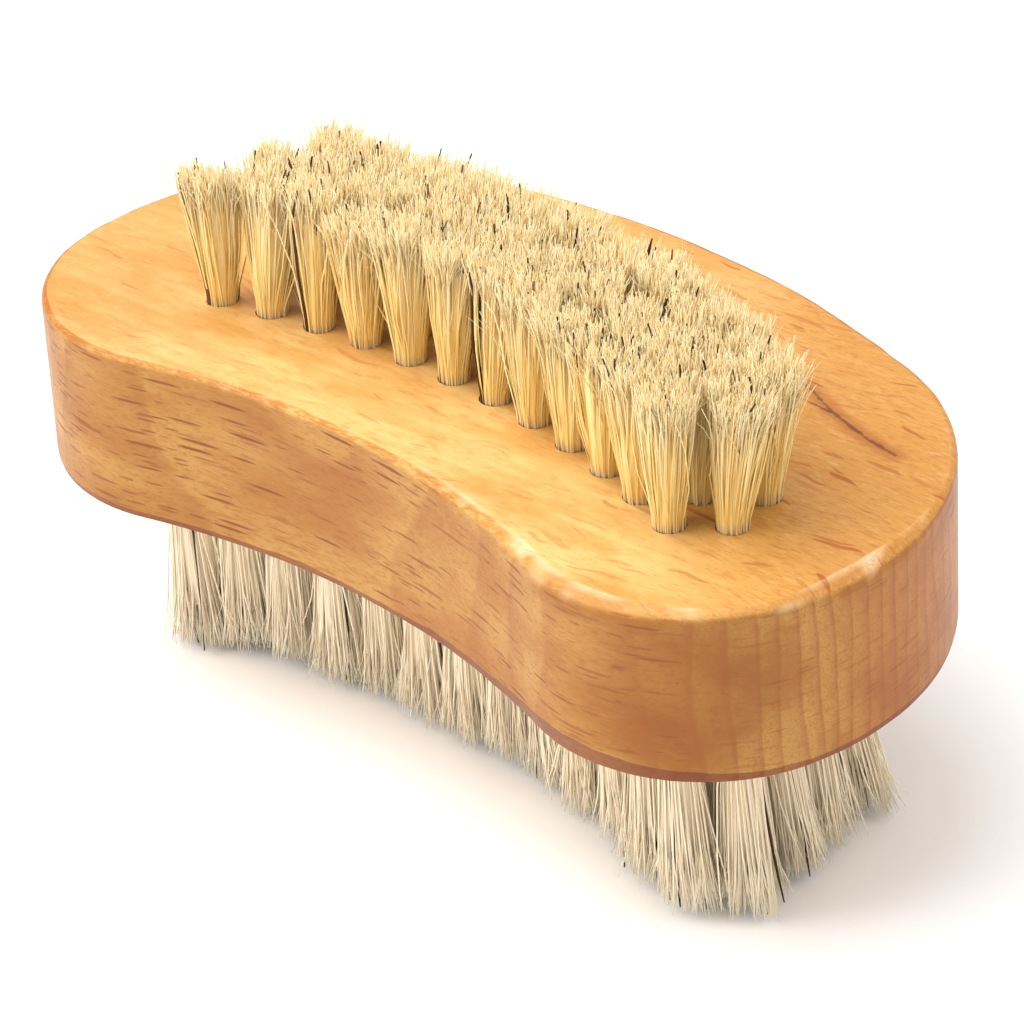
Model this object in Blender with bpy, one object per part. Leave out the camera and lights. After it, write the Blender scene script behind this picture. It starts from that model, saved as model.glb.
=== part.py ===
"""A double-sided wooden hand brush: a bean-shaped block with short bristles above for the nails
and longer bristles below for the hands. Lengths are in metres, and +Z is up.

The brush stands on its lower bristles, whose tips lie in the plane z = 0. The long side of the block
runs along X, and its hollow waist faces -Y.
"""

import math
import random

import bmesh
import bpy
from mathutils import Matrix, Vector

# Block: four arcs a side make its outline, each tangent to the next
BLOCK_LENGTH = 0.0950
BLOCK_MIDDLE_WIDTH = 0.0452
BLOCK_THICKNESS = 0.0165
WAIST_RADIUS = 0.0805
FRONT_CORNER_RADIUS = 0.0165
END_RADIUS = 0.0280
BACK_RADIUS = 0.0920
TOP_EDGE_ROUND = 0.0013
BOTTOM_EDGE_ROUND = 0.0010

# Rows of tufts: each is an arc about the centre of the waist
FRONT_MARGIN = 0.0131  # from the waist's edge to the middle of the front row
ROW_PITCH = 0.0045
END_MARGIN = 0.0160  # from the block's end to the last lower front tuft, before the shift
ROW_SHIFT = 0.0015  # how far the drilling is off the middle: to +X above, and to -X below

# Tufts and the holes that hold them
TUFT_RADIUS = 0.0012
FIT_GAP = 0.0003
HOLE_DEPTH = 0.0062  # down to where the drill's point begins
DRILL_POINT = 0.0008
TOP_BRISTLE_LENGTH = 0.0146
BOTTOM_BRISTLE_LENGTH = 0.0200
RAGGED = 0.0005  # the most that a strand is longer or shorter than its length
FOOT_CUT = 0.0005  # how much longer the lower strands are before they are cut level
TOP_LEAN = 0.0014  # how far the upper tips lean to +X
TOP_FAN = 0.0004  # how far they lean out as well, at the ends of a row
BOTTOM_LEAN = 0.0022
BOTTOM_FAN = 0.0011
SIDE_FAN = 0.0006  # how far the tips lean out, for each row away from the middle row

# Anchor: flat wire across each fold, which bites into the wall of the hole
ANCHOR_HEIGHT = 0.0014
ANCHOR_THICKNESS = 0.0004
ANCHOR_BITE = 0.0004

# Slices of the block that carry the inner rows of lower tufts
SLICE_THICKNESS = 0.0030
SLICE_MARGIN = 0.0003  # wood round the tufts on a slice

# Shares of a tuft's own cell, which is one pitch along the row by one row pitch
TIP_MIDDLE_SHARE = 0.245  # from the middle of the cell to the middle of a strand's tip
TIP_HALF_SHARE = 0.165  # half the width of a strand's tip
TIP_JITTER_SHARE = 0.025

# Facets
WAIST_STEPS = 9
CORNER_STEPS = 8
END_STEPS = 9
BACK_STEPS = 7
EDGE_STEPS = 2
HOLE_SIDES = 8
SLICE_STEPS = 12
SLICE_END_STEPS = 4

EDGE_PROFILE = 0.5  # a round edge
SHARP_ANGLE = math.radians(30)

SEED = 11
WELD = 0.000001  # closer points are one point
OVERRUN = 0.0020  # how far a cutter stands out of what it cuts

BLOCK_BOTTOM = BOTTOM_BRISTLE_LENGTH
BLOCK_TOP = BLOCK_BOTTOM + BLOCK_THICKNESS
FRONT_ROW_RADIUS = WAIST_RADIUS + FRONT_MARGIN
HOLE_RADIUS = TUFT_RADIUS + FIT_GAP
ROW_END_ANGLE = math.asin((BLOCK_LENGTH / 2 - END_MARGIN) / FRONT_ROW_RADIUS)
SHIFT_ANGLE = ROW_SHIFT / FRONT_ROW_RADIUS
ANCHOR_TURN = math.pi / HOLE_SIDES  # square to one flat side of the root

# Each face's rows, from the front: the pitches from the middle to the first and to the last tuft
TOP_ROWS = [(-5.5, 5.5), (-5, 6), (-4.5, 5.5)]
BOTTOM_ROWS = [(-6, 6), (-5.5, 6.5), (-5, 6), (-4.5, 5.5), (-4, 5)]
TOP_ROW_NAMES = ["front", "middle", "back"]
PITCH_ANGLE = ROW_END_ANGLE / BOTTOM_ROWS[0][1]

WOOD_COLOUR = (0.66, 0.38, 0.16, 1)
WOOD_ROUGHNESS = 0.5
BRISTLE_COLOUR = (0.76, 0.66, 0.46, 1)
BRISTLE_ROUGHNESS = 0.6


def start_scene():
    """Empties the scene and returns the collection of parts and the collection of cutters."""
    for thing in list(bpy.data.objects):
        bpy.data.objects.remove(thing, do_unlink=True)
    groups = []
    for name in ("hand_brush", "cutters"):
        group = bpy.data.collections.new(name)
        bpy.context.scene.collection.children.link(group)
        groups.append(group)
    return groups


def principled(name, colour, roughness):
    """A plain material with the piece's colour and roughness."""
    material = bpy.data.materials.new(name)
    material.use_nodes = True
    shader = material.node_tree.nodes["Principled BSDF"]
    shader.inputs["Base Color"].default_value = colour
    shader.inputs["Roughness"].default_value = roughness
    shader.inputs["Metallic"].default_value = 0
    material.diffuse_color = colour
    return material


# Outline of the block


def arc_points(centre, radius, start, stop, steps):
    """Points along an arc from the angle start up to the angle stop, without the last one."""
    points = []
    for step in range(steps):
        angle = start + (stop - start) * step / steps
        points.append(centre + radius * Vector((math.cos(angle), math.sin(angle))))
    return points


def angle_of(vector):
    return math.atan2(vector.y, vector.x)


def arc_centres():
    """Centres of the waist, front corner, end and back arcs of the right half.

    The middle of the waist's edge is at the origin here, and the middle of the back straight behind it.
    """
    waist = Vector((0, -WAIST_RADIUS))
    back = Vector((0, BLOCK_MIDDLE_WIDTH - BACK_RADIUS))
    end_x = BLOCK_LENGTH / 2 - END_RADIUS
    end_rise = math.sqrt((BACK_RADIUS - END_RADIUS) ** 2 - end_x**2)
    end = Vector((end_x, back.y + end_rise))
    # The corner's arc touches the end's from inside and the waist's from outside.
    to_waist = WAIST_RADIUS + FRONT_CORNER_RADIUS
    to_end = END_RADIUS - FRONT_CORNER_RADIUS
    span = (end - waist).length
    along = (to_waist**2 - to_end**2 + span**2) / (2 * span)
    aside = math.sqrt(to_waist**2 - along**2)
    direction = (end - waist).normalized()
    corner = waist + along * direction + aside * Vector((direction.y, -direction.x))
    return waist, corner, end, back


def outline_points():
    """The block's outline, anticlockwise from the middle of the waist, and the shift that centres it."""
    waist, corner, end, back = arc_centres()
    quarter = math.pi / 2
    half = arc_points(waist, WAIST_RADIUS, quarter, angle_of(corner - waist), WAIST_STEPS)
    half += arc_points(
        corner,
        FRONT_CORNER_RADIUS,
        angle_of(waist - corner),
        angle_of(corner - end),
        CORNER_STEPS,
    )
    half += arc_points(end, END_RADIUS, angle_of(corner - end), angle_of(end - back), END_STEPS)
    half += arc_points(back, BACK_RADIUS, angle_of(end - back), quarter, BACK_STEPS)
    half.append(Vector((0, BLOCK_MIDDLE_WIDTH)))
    other_half = [Vector((-point.x, point.y)) for point in reversed(half[1:-1])]
    heights = [point.y for point in half]
    shift = Vector((0, -(max(heights) + min(heights)) / 2))
    return [point + shift for point in half + other_half], shift


OUTLINE, CENTRING = outline_points()
ROW_CENTRE = CENTRING - Vector((0, WAIST_RADIUS))


# Places of the tufts


def row_angles(ends, shift_angle):
    """The angle of each tuft of a row from the line through the middle of the waist."""
    first, last = ends
    return [(first + step) * PITCH_ANGLE + shift_angle for step in range(round(last - first) + 1)]


def row_radius(row):
    return FRONT_ROW_RADIUS + row * ROW_PITCH


def tuft_frame(row, angle, height):
    """A tuft's own axes: its X runs along the row, its Y towards the back, and its Z is up."""
    turn = Matrix.Rotation(-angle, 4, "Z")
    out = turn @ Vector((0, row_radius(row), 0))
    place = Vector((ROW_CENTRE.x, ROW_CENTRE.y, height)) + out
    return Matrix.Translation(place) @ turn


# Tufts


def quadrant_tops(mesh):
    """A round-cornered grid of four faces, each drawn up into a strand. Returns the strands' tops."""
    bmesh.ops.create_grid(mesh, x_segments=2, y_segments=2, size=TUFT_RADIUS)
    for corner in mesh.verts:
        if corner.co.length > WELD:
            corner.co = corner.co.normalized() * TUFT_RADIUS
    rim = [edge for edge in mesh.edges if edge.is_boundary]
    drawn = bmesh.ops.extrude_discrete_faces(mesh, faces=mesh.faces[:])
    return drawn["faces"], rim


def splay(tops, length, lean, cell, chance):
    """Moves each strand's top to its tip, inside its own quarter of the tuft's cell."""
    for top in tops:
        middle = top.calc_center_median()
        side = Vector((math.copysign(1, middle.x), math.copysign(1, middle.y)))
        jitter = Vector((chance.uniform(-1, 1), chance.uniform(-1, 1))) * TIP_JITTER_SHARE
        height = length + chance.uniform(-RAGGED, RAGGED)
        for corner in top.verts:
            outer_x = 1 if abs(corner.co.x) > WELD else -1
            outer_y = 1 if abs(corner.co.y) > WELD else -1
            across_x = side.x * (TIP_MIDDLE_SHARE + outer_x * TIP_HALF_SHARE) + jitter.x
            across_y = side.y * (TIP_MIDDLE_SHARE + outer_y * TIP_HALF_SHARE) + jitter.y
            corner.co = Vector((across_x * cell.x + lean.x, across_y * cell.y + lean.y, height))


def ring_down(mesh, ring, depth):
    """Draws a ring of edges down, and returns the new ring and the walls."""
    drawn = bmesh.ops.extrude_edge_only(mesh, edges=ring)["geom"]
    corners = [item for item in drawn if isinstance(item, bmesh.types.BMVert)]
    walls = [item for item in drawn if isinstance(item, bmesh.types.BMFace)]
    bmesh.ops.translate(mesh, verts=corners, vec=(0, 0, -depth))
    lower = [edge for edge in drawn if isinstance(edge, bmesh.types.BMEdge) and len(edge.link_faces) == 1]
    return lower, walls


def anchor_wings(mesh, walls):
    """Draws two opposite walls out into the ends of the flat wire."""
    along_wire = Vector((math.cos(ANCHOR_TURN), math.sin(ANCHOR_TURN), 0))
    walls.sort(key=lambda wall: wall.calc_center_median().dot(along_wire))
    for wall, outward in ((walls[0], -along_wire), (walls[-1], along_wire)):
        end = bmesh.ops.extrude_discrete_faces(mesh, faces=[wall])["faces"][0]
        middle = end.calc_center_median()
        along = Vector((-outward.y, outward.x, 0))
        for corner in end.verts:
            sideways = (corner.co - middle).dot(along)
            corner.co -= along * sideways
            corner.co += along * math.copysign(ANCHOR_THICKNESS / 2, sideways)
            corner.co += outward * (anchor_reach() - middle.xy.length)


def anchor_reach():
    """From the middle of a tuft to the end of its anchor."""
    return HOLE_RADIUS + ANCHOR_BITE


def tuft_mesh(length, lean, cell, chance, root_depth, with_anchor):
    """A tuft standing on its own axes: strands above, and the pressed root below."""
    mesh = bmesh.new()
    tops, ring = quadrant_tops(mesh)
    splay(tops, length, lean, cell, chance)
    if with_anchor:
        ring, _ = ring_down(mesh, ring, root_depth - ANCHOR_HEIGHT)
        ring, walls = ring_down(mesh, ring, ANCHOR_HEIGHT)
        anchor_wings(mesh, walls)
    else:
        ring, _ = ring_down(mesh, ring, root_depth)
    end = bmesh.ops.contextual_create(mesh, geom=ring)["faces"]
    if with_anchor:
        point = bmesh.ops.poke(mesh, faces=end)["verts"][0]
        point.co.z -= DRILL_POINT
    bmesh.ops.recalc_face_normals(mesh, faces=mesh.faces)
    return mesh


def cell_of(row):
    """The size of a tuft's cell: along its row, and from row to row."""
    return Vector((row_radius(row) * PITCH_ANGLE, ROW_PITCH))


def lean_of(angle, row, rows, lean, fan):
    """How far a tuft's tip leans, along the row and from row to row."""
    along = lean + fan * angle / ROW_END_ANGLE
    across = SIDE_FAN * (row - (len(rows) - 1) / 2)
    return Vector((along, across))


def cut_level(mesh):
    """Cuts the strands that reach below the plane z = 0, and closes their ends."""
    cut = bmesh.ops.bisect_plane(
        mesh,
        geom=mesh.verts[:] + mesh.edges[:] + mesh.faces[:],
        dist=WELD,
        plane_co=(0, 0, 0),
        plane_no=(0, 0, -1),
        clear_outer=True,
    )
    edges = [item for item in cut["geom_cut"] if isinstance(item, bmesh.types.BMEdge)]
    bmesh.ops.holes_fill(mesh, edges=edges, sides=4)
    bmesh.ops.recalc_face_normals(mesh, faces=mesh.faces)


def place_top_tuft(row, angle, chance):
    """The mesh of an upper tuft, in the brush's frame."""
    lean = lean_of(angle, row, TOP_ROWS, TOP_LEAN, TOP_FAN)
    mesh = tuft_mesh(TOP_BRISTLE_LENGTH, lean, cell_of(row), chance, HOLE_DEPTH - FIT_GAP, True)
    bmesh.ops.transform(mesh, matrix=tuft_frame(row, angle, BLOCK_TOP), verts=mesh.verts)
    return mesh


def place_bottom_tuft(row, angle, chance, root_depth, with_anchor):
    """The mesh of a lower tuft, upside down under the block and cut level at its tips."""
    lean = lean_of(angle, row, BOTTOM_ROWS, BOTTOM_LEAN, BOTTOM_FAN)
    length = BOTTOM_BRISTLE_LENGTH + FOOT_CUT
    mesh = tuft_mesh(length, lean, cell_of(row), chance, root_depth, with_anchor)
    upside_down = tuft_frame(row, angle, BLOCK_BOTTOM) @ Matrix.Diagonal((1, 1, -1, 1))
    bmesh.ops.transform(mesh, matrix=upside_down, verts=mesh.verts)
    cut_level(mesh)
    return mesh


def object_from(mesh, name, group, material):
    """A named object with this mesh, which is then freed."""
    data = bpy.data.meshes.new(name)
    mesh.to_mesh(data)
    mesh.free()
    data.materials.append(material)
    thing = bpy.data.objects.new(name, data)
    group.objects.link(thing)
    return thing


# Block


def flat_solid(name, points, low, high):
    """A mesh of an outline with flat ends: a filled 2D curve, extruded, with each cap one face."""
    curve = bpy.data.curves.new(name, "CURVE")
    curve.dimensions = "2D"
    curve.fill_mode = "BOTH"
    curve.extrude = (high - low) / 2
    spline = curve.splines.new("POLY")
    spline.points.add(len(points) - 1)
    for node, point in zip(spline.points, points):
        node.co = (point.x, point.y, 0, 1)
    spline.use_cyclic_u = True
    guide = bpy.data.objects.new(name, curve)
    bpy.context.scene.collection.objects.link(guide)
    graph = bpy.context.evaluated_depsgraph_get()
    data = bpy.data.meshes.new_from_object(guide.evaluated_get(graph))
    mesh = bmesh.new()
    mesh.from_mesh(data)
    bpy.data.objects.remove(guide, do_unlink=True)
    bpy.data.curves.remove(curve)
    bpy.data.meshes.remove(data)
    bmesh.ops.remove_doubles(mesh, verts=mesh.verts, dist=WELD)
    caps = [face for face in mesh.faces if abs(face.normal.z) > abs(face.normal.xy.length)]
    bmesh.ops.dissolve_faces(mesh, faces=caps)
    bmesh.ops.translate(mesh, verts=mesh.verts, vec=(0, 0, (low + high) / 2))
    bmesh.ops.recalc_face_normals(mesh, faces=mesh.faces)
    return mesh


def round_rim(mesh, height, width):
    """Rounds the edges that lie at this height."""
    rim = [edge for edge in mesh.edges if all(abs(end.co.z - height) < WELD for end in edge.verts)]
    bmesh.ops.bevel(
        mesh,
        geom=rim,
        offset=width,
        offset_type="OFFSET",
        segments=EDGE_STEPS,
        profile=EDGE_PROFILE,
        affect="EDGES",
        material=-1,
    )


def drill(mesh, frame, down):
    """Adds a drill's cutter, with its point, to a mesh. Down is 1 from above and -1 from below."""
    length = HOLE_DEPTH + OVERRUN
    middle = Matrix.Translation((0, 0, OVERRUN - length / 2))
    made = bmesh.ops.create_cone(
        mesh,
        cap_ends=True,
        segments=HOLE_SIDES,
        radius1=HOLE_RADIUS,
        radius2=HOLE_RADIUS,
        depth=length,
        matrix=middle,
    )
    inner = min(
        {face for corner in made["verts"] for face in corner.link_faces},
        key=lambda face: face.calc_center_median().z,
    )
    point = bmesh.ops.poke(mesh, faces=[inner])["verts"][0]
    point.co.z -= DRILL_POINT
    bmesh.ops.transform(
        mesh,
        matrix=frame @ Matrix.Diagonal((1, 1, down, 1)),
        verts=made["verts"] + [point],
    )


def bite(mesh, frame, down):
    """Adds the cutter of the slot that an anchor's ends bite into the wall of its hole."""
    length = 2 * (anchor_reach() + FIT_GAP)
    size = Vector((length, ANCHOR_THICKNESS + 2 * FIT_GAP, ANCHOR_HEIGHT + 2 * FIT_GAP))
    turn = Matrix.Rotation(ANCHOR_TURN, 4, "Z")
    place = Matrix.Translation((0, 0, -(HOLE_DEPTH - FIT_GAP - ANCHOR_HEIGHT / 2)))
    made = bmesh.ops.create_cube(mesh, size=1, matrix=place @ turn @ Matrix.Diagonal((*size, 1)))
    bmesh.ops.transform(mesh, matrix=frame @ Matrix.Diagonal((1, 1, down, 1)), verts=made["verts"])


def slice_points(row, ends, half_width):
    """The outline of a slice: an arc along its row, with round ends."""
    angles = row_angles(ends, -SHIFT_ANGLE)
    quarter = math.pi / 2
    first, last = quarter - angles[0], quarter - angles[-1]
    radius = row_radius(row)
    outer = arc_points(ROW_CENTRE, radius + half_width, last, first, SLICE_STEPS)
    inner = arc_points(ROW_CENTRE, radius - half_width, first, last, SLICE_STEPS)
    left = ROW_CENTRE + radius * Vector((math.cos(first), math.sin(first)))
    right = ROW_CENTRE + radius * Vector((math.cos(last), math.sin(last)))
    left_end = arc_points(left, half_width, first, first + math.pi, SLICE_END_STEPS)
    right_end = arc_points(right, half_width, last - math.pi, last, SLICE_END_STEPS)
    return outer + left_end + inner + right_end


def add_cutter(mesh, name, group):
    """Keeps a mesh as a cutter: left out of the render and drawn as wire."""
    bmesh.ops.recalc_face_normals(mesh, faces=mesh.faces)
    cutter = object_from(mesh, name, group, bpy.data.materials["cutter"])
    cutter.hide_render = True
    cutter.display_type = "WIRE"
    return cutter


def combine(target, other, operation, name):
    """A Boolean modifier on the target."""
    modifier = target.modifiers.new(name, "BOOLEAN")
    modifier.object = other
    modifier.operation = operation
    modifier.solver = "EXACT"


def drilled_places():
    """Each drilled hole's frame, and 1 if it is drilled from above or -1 if from below."""
    places = []
    for row, ends in enumerate(TOP_ROWS):
        for angle in row_angles(ends, SHIFT_ANGLE):
            places.append((tuft_frame(row, angle, BLOCK_TOP), 1))
    for angle in row_angles(BOTTOM_ROWS[0], -SHIFT_ANGLE):
        places.append((tuft_frame(0, angle, BLOCK_BOTTOM), -1))
    return places


def make_block(parts, cutters, wood):
    """The wood block, with rounded rims, drilled holes, anchor slots and grooves for the slices."""
    mesh = flat_solid("wood_block", OUTLINE, BLOCK_BOTTOM, BLOCK_TOP)
    round_rim(mesh, BLOCK_TOP, TOP_EDGE_ROUND)
    round_rim(mesh, BLOCK_BOTTOM, BOTTOM_EDGE_ROUND)
    block = object_from(mesh, "wood_block", parts, wood)
    drills = bmesh.new()
    bites = bmesh.new()
    for frame, down in drilled_places():
        drill(drills, frame, down)
        bite(bites, frame, down)
    combine(block, add_cutter(drills, "drills", cutters), "DIFFERENCE", "holes")
    combine(block, add_cutter(bites, "anchor_bites", cutters), "DIFFERENCE", "anchor slots")
    groove_top = BLOCK_BOTTOM + SLICE_THICKNESS + FIT_GAP
    for row, ends in list(enumerate(BOTTOM_ROWS))[1:]:
        points = slice_points(row, ends, HOLE_RADIUS + SLICE_MARGIN)
        groove = flat_solid("groove", points, BLOCK_BOTTOM - OVERRUN, groove_top)
        cutter = add_cutter(groove, f"groove_{row + 1}", cutters)
        combine(block, cutter, "DIFFERENCE", f"groove {row + 1}")
    block.data.set_sharp_from_angle(angle=SHARP_ANGLE)
    return block


def make_top_tufts(parts, bristle):
    """One object for each upper tuft, named by its row and its place in it."""
    chance = random.Random(SEED)
    for row, ends in enumerate(TOP_ROWS):
        for number, angle in enumerate(row_angles(ends, SHIFT_ANGLE), 1):
            name = f"top_tuft_{TOP_ROW_NAMES[row]}_{number:02d}"
            object_from(place_top_tuft(row, angle, chance), name, parts, bristle)


def make_bottom_front_tufts(parts, bristle):
    """One object for each tuft of the lower front row, which shows past the block's edge."""
    chance = random.Random(SEED + 1)
    for number, angle in enumerate(row_angles(BOTTOM_ROWS[0], -SHIFT_ANGLE), 1):
        mesh = place_bottom_tuft(0, angle, chance, HOLE_DEPTH - FIT_GAP, True)
        object_from(mesh, f"bottom_tuft_front_{number:02d}", parts, bristle)


def make_bottom_rows(parts, cutters, bristle):
    """The other lower rows, each one object: its tufts, fused to the slice of the block they stand in."""
    chance = random.Random(SEED + 2)
    for row, ends in list(enumerate(BOTTOM_ROWS))[1:]:
        points = slice_points(row, ends, TUFT_RADIUS + SLICE_MARGIN)
        backing = flat_solid("backing", points, BLOCK_BOTTOM, BLOCK_BOTTOM + SLICE_THICKNESS)
        thing = object_from(backing, f"bottom_row_{row + 1}", parts, bristle)
        together = bmesh.new()
        for angle in row_angles(ends, -SHIFT_ANGLE):
            tuft = place_bottom_tuft(row, angle, chance, SLICE_THICKNESS / 2, False)
            data = bpy.data.meshes.new("tuft")
            tuft.to_mesh(data)
            tuft.free()
            together.from_mesh(data)
            bpy.data.meshes.remove(data)
        tufts = add_cutter(together, f"row_{row + 1}_tufts", cutters)
        combine(thing, tufts, "UNION", "tufts")


def main():
    parts, cutters = start_scene()
    wood = principled("beech", WOOD_COLOUR, WOOD_ROUGHNESS)
    bristle = principled("natural_bristle", BRISTLE_COLOUR, BRISTLE_ROUGHNESS)
    principled("cutter", WOOD_COLOUR, WOOD_ROUGHNESS)
    make_block(parts, cutters, wood)
    make_top_tufts(parts, bristle)
    make_bottom_front_tufts(parts, bristle)
    make_bottom_rows(parts, cutters, bristle)


main()
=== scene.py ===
# %% [markdown]
# # A wooden hand brush with two faces of bristle
# The brush is a bean of beech wood, drilled on both faces. Short tufts for the nails stand in
# its top, and longer tufts for the hands hang below it. The solids come from the CAD frame and
# stay where they are. This lesson gives the block its wood, and puts full bristles in the
# places of the plain ones. Everything is in metres, in the frame of the CAD model.

# %% Load the fixed frame
import math
import random
from dataclasses import dataclass
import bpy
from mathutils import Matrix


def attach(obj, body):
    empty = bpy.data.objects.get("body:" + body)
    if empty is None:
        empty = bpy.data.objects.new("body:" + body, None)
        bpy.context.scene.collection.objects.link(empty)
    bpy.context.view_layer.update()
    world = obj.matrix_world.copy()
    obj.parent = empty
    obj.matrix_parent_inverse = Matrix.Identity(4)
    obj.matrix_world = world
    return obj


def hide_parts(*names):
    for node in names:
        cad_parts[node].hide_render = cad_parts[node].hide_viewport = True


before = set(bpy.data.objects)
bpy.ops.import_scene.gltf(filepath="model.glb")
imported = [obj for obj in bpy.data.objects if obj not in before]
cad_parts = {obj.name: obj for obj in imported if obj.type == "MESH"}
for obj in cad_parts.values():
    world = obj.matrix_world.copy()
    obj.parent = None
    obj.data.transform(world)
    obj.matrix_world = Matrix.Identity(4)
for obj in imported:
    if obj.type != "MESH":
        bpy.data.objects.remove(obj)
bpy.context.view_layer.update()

from types import SimpleNamespace

import bmesh
import bpy
import numpy as np
from mathutils import Matrix, Vector, kdtree, noise

# %% [markdown]
# ## The camera first
# The photograph was taken with a long lens from above the hollow side. Its place comes from
# fitting the block's outline, so it is set before anything is made. The picture leans by a few
# degrees, so the camera rolls about the way it looks. A camera can be aimed with a constraint,
# but a matrix of its three axes says the same and leaves nothing live in the scene.

# %% Camera
PHOTO_PIXELS = 1024
FOCAL_PIXELS = 5000
SENSOR_MM = 36
CAMERA_AZIMUTH = math.radians(47.81)
CAMERA_HEIGHT = math.radians(31.29)
CAMERA_ROLL = math.radians(-3.26)
CAMERA_DISTANCE = 0.4440
CAMERA_TARGET = Vector((0.0038, -0.0056, 0.0240))


def camera_axes(azimuth, height, roll):
    """The camera's right, up and backward axes."""
    back = Vector((
        math.sin(azimuth) * math.cos(height),
        -math.cos(azimuth) * math.cos(height),
        math.sin(height),
    ))
    level_right = Vector((math.cos(azimuth), math.sin(azimuth), 0))
    level_up = back.cross(level_right)
    right = math.cos(roll) * level_right + math.sin(roll) * level_up
    up = math.cos(roll) * level_up - math.sin(roll) * level_right
    return right, up, back


axes = camera_axes(CAMERA_AZIMUTH, CAMERA_HEIGHT, CAMERA_ROLL)
lens = bpy.data.cameras.new("camera")
lens.sensor_width = SENSOR_MM
lens.lens = FOCAL_PIXELS * SENSOR_MM / PHOTO_PIXELS
camera = bpy.data.objects.new("camera", lens)
stand = Matrix.Translation(CAMERA_TARGET + axes[2] * CAMERA_DISTANCE)
camera.matrix_world = stand @ Matrix(axes).transposed().to_4x4()
bpy.context.scene.collection.objects.link(camera)
bpy.context.scene.camera = camera
print("lens in mm:", round(lens.lens, 1))

# %% [markdown]
# ## Sizes of the brush
# These repeat the named sizes of the CAD source, because a piece that stands for a solid has
# to fill the same place. The rows of tufts are arcs about the centre of the hollow waist.

# %% Sizes
BLOCK_LENGTH = 0.0950
BLOCK_MIDDLE_WIDTH = 0.0452
BLOCK_BOTTOM = 0.0200
BLOCK_TOP = 0.0365
WAIST_RADIUS = 0.0805
FRONT_CORNER_RADIUS = 0.0165
END_RADIUS = 0.0280
BACK_RADIUS = 0.0920
FRONT_ROW_RADIUS = WAIST_RADIUS + 0.0131
ROW_PITCH = 0.0045
END_MARGIN = 0.0160
ROW_SHIFT = 0.0015
HOLE_RADIUS = 0.0015
HOLE_DEPTH = 0.0062
TOP_LENGTH = 0.0146
BOTTOM_LENGTH = 0.0200
SEED = 11

# The first and the last tuft of each row, in pitches from the middle, front row first
TOP_ROWS = ((-5.5, 5.5), (-5, 6), (-4.5, 5.5))
BOTTOM_ROWS = ((-6, 6), (-5.5, 6.5), (-5, 6), (-4.5, 5.5), (-4, 5))
ROW_END_ANGLE = math.asin((BLOCK_LENGTH / 2 - END_MARGIN) / FRONT_ROW_RADIUS)
PITCH_ANGLE = ROW_END_ANGLE / BOTTOM_ROWS[0][1]
SHIFT_ANGLE = ROW_SHIFT / FRONT_ROW_RADIUS


def arc_centres():
    """Centres of the waist, front corner, end and back arcs, from the middle of the waist's edge."""
    waist = Vector((0, -WAIST_RADIUS, 0))
    back = Vector((0, BLOCK_MIDDLE_WIDTH - BACK_RADIUS, 0))
    end_x = BLOCK_LENGTH / 2 - END_RADIUS
    end = Vector((end_x, back.y + math.sqrt((BACK_RADIUS - END_RADIUS) ** 2 - end_x**2), 0))
    to_waist = WAIST_RADIUS + FRONT_CORNER_RADIUS
    to_end = END_RADIUS - FRONT_CORNER_RADIUS
    span = (end - waist).length
    along = (to_waist**2 - to_end**2 + span**2) / (2 * span)
    ahead = (end - waist).normalized()
    aside = Vector((ahead.y, -ahead.x, 0)) * math.sqrt(to_waist**2 - along**2)
    return waist, waist + along * ahead + aside, end, back


def heading(vector):
    """The angle of a vector seen from above."""
    return math.atan2(vector.y, vector.x)


WAIST, CORNER, END, BACK = arc_centres()
print("corner centre in mm:", [round(x * 1000, 1) for x in CORNER])

# %% [markdown]
# ## A small kit for materials
# A material is a graph of nodes. Wiring each one by hand hides the sum that it does, so one
# class wraps a socket and lets Python's own signs add the Math nodes. Any other node comes
# from one method, which takes its settings first and then what its sockets get.

# %% The material kit


class Wire:
    """One output inside a material. Signs between wires add Math nodes."""

    def __init__(self, finish, socket):
        self.finish = finish
        self.socket = socket

    def __add__(self, other):
        return self.finish.maths("ADD", self, other)

    def __sub__(self, other):
        return self.finish.maths("SUBTRACT", self, other)

    def __rsub__(self, other):
        return self.finish.maths("SUBTRACT", other, self)

    def __mul__(self, other):
        return self.finish.maths("MULTIPLY", self, other)

    def __truediv__(self, other):
        return self.finish.maths("DIVIDE", self, other)

    __radd__ = __add__
    __rmul__ = __mul__


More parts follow.
